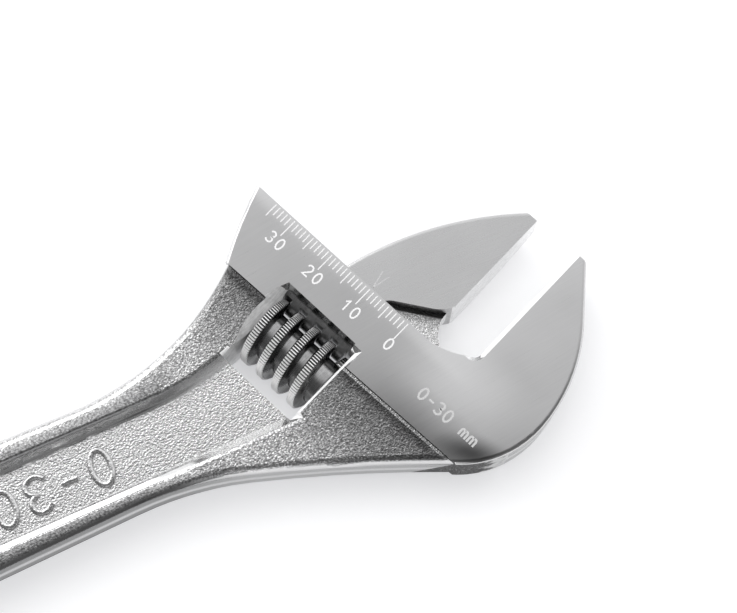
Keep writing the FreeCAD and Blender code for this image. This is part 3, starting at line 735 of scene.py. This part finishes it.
def knurl_mesh():
    """A core tube with a right-hand ridge wound on it, its crest cut into fine serrations."""
    mesh = bmesh.new()

    def spot(u, radius, angle):
        u = min(max(u, KNURL_LEFT), KNURL_RIGHT)
        across = -KNURL_DROP + radius * math.cos(angle)
        return mesh.verts.new(from_jaw(u, across, radius * math.sin(angle)))

    root_half = (LEAD - ROOT_GROOVE) / 2
    crest_half = CREST_WIDTH / 2
    crest_start = 3
    # Place along the axis from the ridge's middle; lift from the root or the crest; 1 for the crest.
    profile = [
        (-root_half - 0.45, -0.2, 0),
        (-root_half - 0.15, 0.12, 0),
        (-root_half + 0.05, 0.5, 0),
        (-crest_half, -0.24, 1),
        (-crest_half + 0.16, 0.0, 1),
        (crest_half - 0.16, 0.0, 1),
        (crest_half, -0.24, 1),
        (root_half - 0.05, 0.5, 0),
        (root_half + 0.15, 0.12, 0),
        (root_half + 0.45, -0.2, 0),
    ]
    first, last = -2.05, 2.05
    run_out = 0.09
    count = int((last - first) * STEPS_PER_TURN)
    rings = []
    for i in range(count + 1):
        turns = first + (last - first) * i / count
        angle = 2 * math.pi * turns
        centre = CREST_STATION + LEAD * turns
        fade = min(1.0, (last - turns) / run_out)
        tooth = TOOTH_DEPTH * TOOTH_STEPS[i % len(TOOTH_STEPS)]
        top = THREAD_ROOT + (KNURL_RADIUS - THREAD_ROOT) * math.sin(fade * math.pi / 2)
        ring = []
        for offset, lift, on_crest in profile:
            if on_crest:
                radius = max(THREAD_ROOT - 0.1, top + lift - tooth)
            else:
                radius = min(THREAD_ROOT + lift, top)
            ring.append(spot(centre + offset, radius, angle))
        rings.append(ring)
    for i, (a, b) in enumerate(zip(rings, rings[1:])):
        phase = i % len(TOOTH_STEPS)
        for k in range(len(profile) - 1):
            face = mesh.faces.new((a[k], b[k], b[k + 1], a[k + 1]))
            on_crest = crest_start <= k <= crest_start + 2
            # The top and rising face of each serration take the painted highlight, the falling face and the
            # valley the painted shade.
            face.material_index = (1 if phase in (0, 3) else 2) if on_crest else 0
        mesh.faces.new((a[-1], b[-1], b[0], a[0]))
    mesh.faces.new(rings[0])
    mesh.faces.new(list(reversed(rings[-1])))

    chamber_end = KNURL_LEFT + 6.0
    chamber_radius, bore_radius, bevel = 3.2, 2.0, 0.3
    core = [
        (KNURL_LEFT, chamber_radius),
        (KNURL_LEFT, THREAD_ROOT - bevel),
        (KNURL_LEFT + bevel, THREAD_ROOT),
        (KNURL_RIGHT - bevel, THREAD_ROOT),
        (KNURL_RIGHT, THREAD_ROOT - bevel),
        (KNURL_RIGHT, bore_radius),
        (chamber_end, bore_radius),
        (chamber_end, chamber_radius),
    ]
    around = 96
    columns = [
        [spot(u, radius, 2 * math.pi * j / around) for u, radius in core] for j in range(around)
    ]
    for j in range(around):
        a, b = columns[j], columns[(j + 1) % around]
        for k in range(len(core)):
            m = (k + 1) % len(core)
            mesh.faces.new((a[k], a[m], b[m], b[k]))
    bmesh.ops.dissolve_degenerate(mesh, dist=1e-7, edges=mesh.edges)
    return mesh


KNURL_STEELS = [THREAD_STEEL, CREST_HIGHLIGHT_STEEL, GROOVE_SHADE_STEEL]
knurl = finish_piece("serrated_knurl", knurl_mesh(), KNURL_STEELS, "knurl", 32)
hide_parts("knurl")


# ---------------------------------------------------------------- floor, light and camera
def make_floor():
    low = CAD_BOX[0][2]
    mesh = bmesh.new()
    reach = 3.0
    corners = [(-reach, -reach), (reach, -reach), (reach, reach), (-reach, reach)]
    mesh.faces.new([mesh.verts.new((x, y, low)) for x, y in corners])
    data = bpy.data.meshes.new("floor")
    mesh.to_mesh(data)
    mesh.free()
    data.materials.append(floor_paper())
    floor = bpy.data.objects.new("floor", data)
    bpy.context.collection.objects.link(floor)


def make_world():
    """A soft tent, bright towards +Y and dark towards -Y."""
    world = bpy.data.worlds.new("studio")
    world.use_nodes = True
    tree = world.node_tree
    tree.nodes.clear()
    link = tree.links.new
    output = tree.nodes.new("ShaderNodeOutputWorld")
    sky = tree.nodes.new("ShaderNodeBackground")
    place = tree.nodes.new("ShaderNodeTexCoord")
    split = tree.nodes.new("ShaderNodeSeparateXYZ")
    away = tree.nodes.new("ShaderNodeVectorMath")
    away.operation = "DOT_PRODUCT"
    away.inputs[1].default_value = (0.205, 0.456, 0.0)
    shifted = tree.nodes.new("ShaderNodeMath")
    shifted.inputs[1].default_value = 0.5
    horizon = tree.nodes.new("ShaderNodeMapRange")
    horizon.interpolation_type = "SMOOTHSTEP"
    horizon.inputs["From Min"].default_value = 0.12
    horizon.inputs["From Max"].default_value = 0.40
    horizon.inputs["To Min"].default_value = 1.0
    horizon.inputs["To Max"].default_value = 0.0
    mix = tree.nodes.new("ShaderNodeMix")
    mix.data_type = "RGBA"
    link(place.outputs["Generated"], away.inputs[0])
    link(place.outputs["Generated"], split.inputs[0])
    link(away.outputs["Value"], shifted.inputs[0])
    link(split.outputs[2], horizon.inputs["Value"])
    link(horizon.outputs[0], mix.inputs[0])
    link(mix.outputs[2], sky.inputs["Color"])
    link(sky.outputs["Background"], output.inputs["Surface"])
    overhead = [(0.0, 0.4), (0.25, 0.1), (0.46, 0.14), (0.54, 0.42), (0.62, 0.8), (0.75, 1.0)]
    low_down = [(0.0, 0.2), (0.28, 0.24), (0.48, 0.85), (1.0, 1.0)]
    for stops, socket in ((overhead, 6), (low_down, 7)):
        ramp = tree.nodes.new("ShaderNodeValToRGB")
        link(shifted.outputs[0], ramp.inputs["Fac"])
        link(ramp.outputs["Color"], mix.inputs[socket])
        while len(ramp.color_ramp.elements) < len(stops):
            ramp.color_ramp.elements.new(0.5)
        for element, (height, level) in zip(ramp.color_ramp.elements, stops):
            element.position = height
            element.color = (level, level, level * 1.01, 1)
    bpy.context.scene.world = world


def area_light(name, position, target, width, height, power):
    data = bpy.data.lights.new(name, "AREA")
    data.shape = "RECTANGLE"
    data.size = width
    data.size_y = height
    data.energy = power
    lamp = bpy.data.objects.new(name, data)
    lamp.location = position
    aim = Vector(target) - Vector(position)
    lamp.rotation_euler = aim.to_track_quat("-Z", "Y").to_euler()
    bpy.context.collection.objects.link(lamp)
    return lamp


def make_camera():
    """Looks down at the head, leaning 15 degrees off the face's normal."""
    data = bpy.data.cameras.new("camera")
    data.sensor_width = 36.0
    data.lens = 70.83
    data.clip_start = 0.01
    data.clip_end = 20.0
    forward = Vector((0.1004423, 0.2385344, -0.9659258))
    up = Vector((0.3961006, 0.8809955, 0.2587496))
    right = forward.cross(up).normalized()
    camera = bpy.data.objects.new("camera", data)
    turn = Matrix((right, up, -forward)).transposed()
    camera.matrix_world = Matrix.Translation((0.1738133, -0.0591383, 0.2744945)) @ turn.to_4x4()
    bpy.context.collection.objects.link(camera)
    bpy.context.scene.camera = camera


make_floor()
make_world()
FOCUS = (0.19, 0.0, 0.0)
area_light("upper_left", (-0.15, 0.65, 0.55), FOCUS, 0.7, 0.5, 3.0)
overhead = area_light("overhead", (0.19, 0.1, 1.0), FOCUS, 1.2, 1.2, 10.0)
overhead.visible_glossy = False
make_camera()
bpy.context.scene.view_settings.view_transform = "Standard"
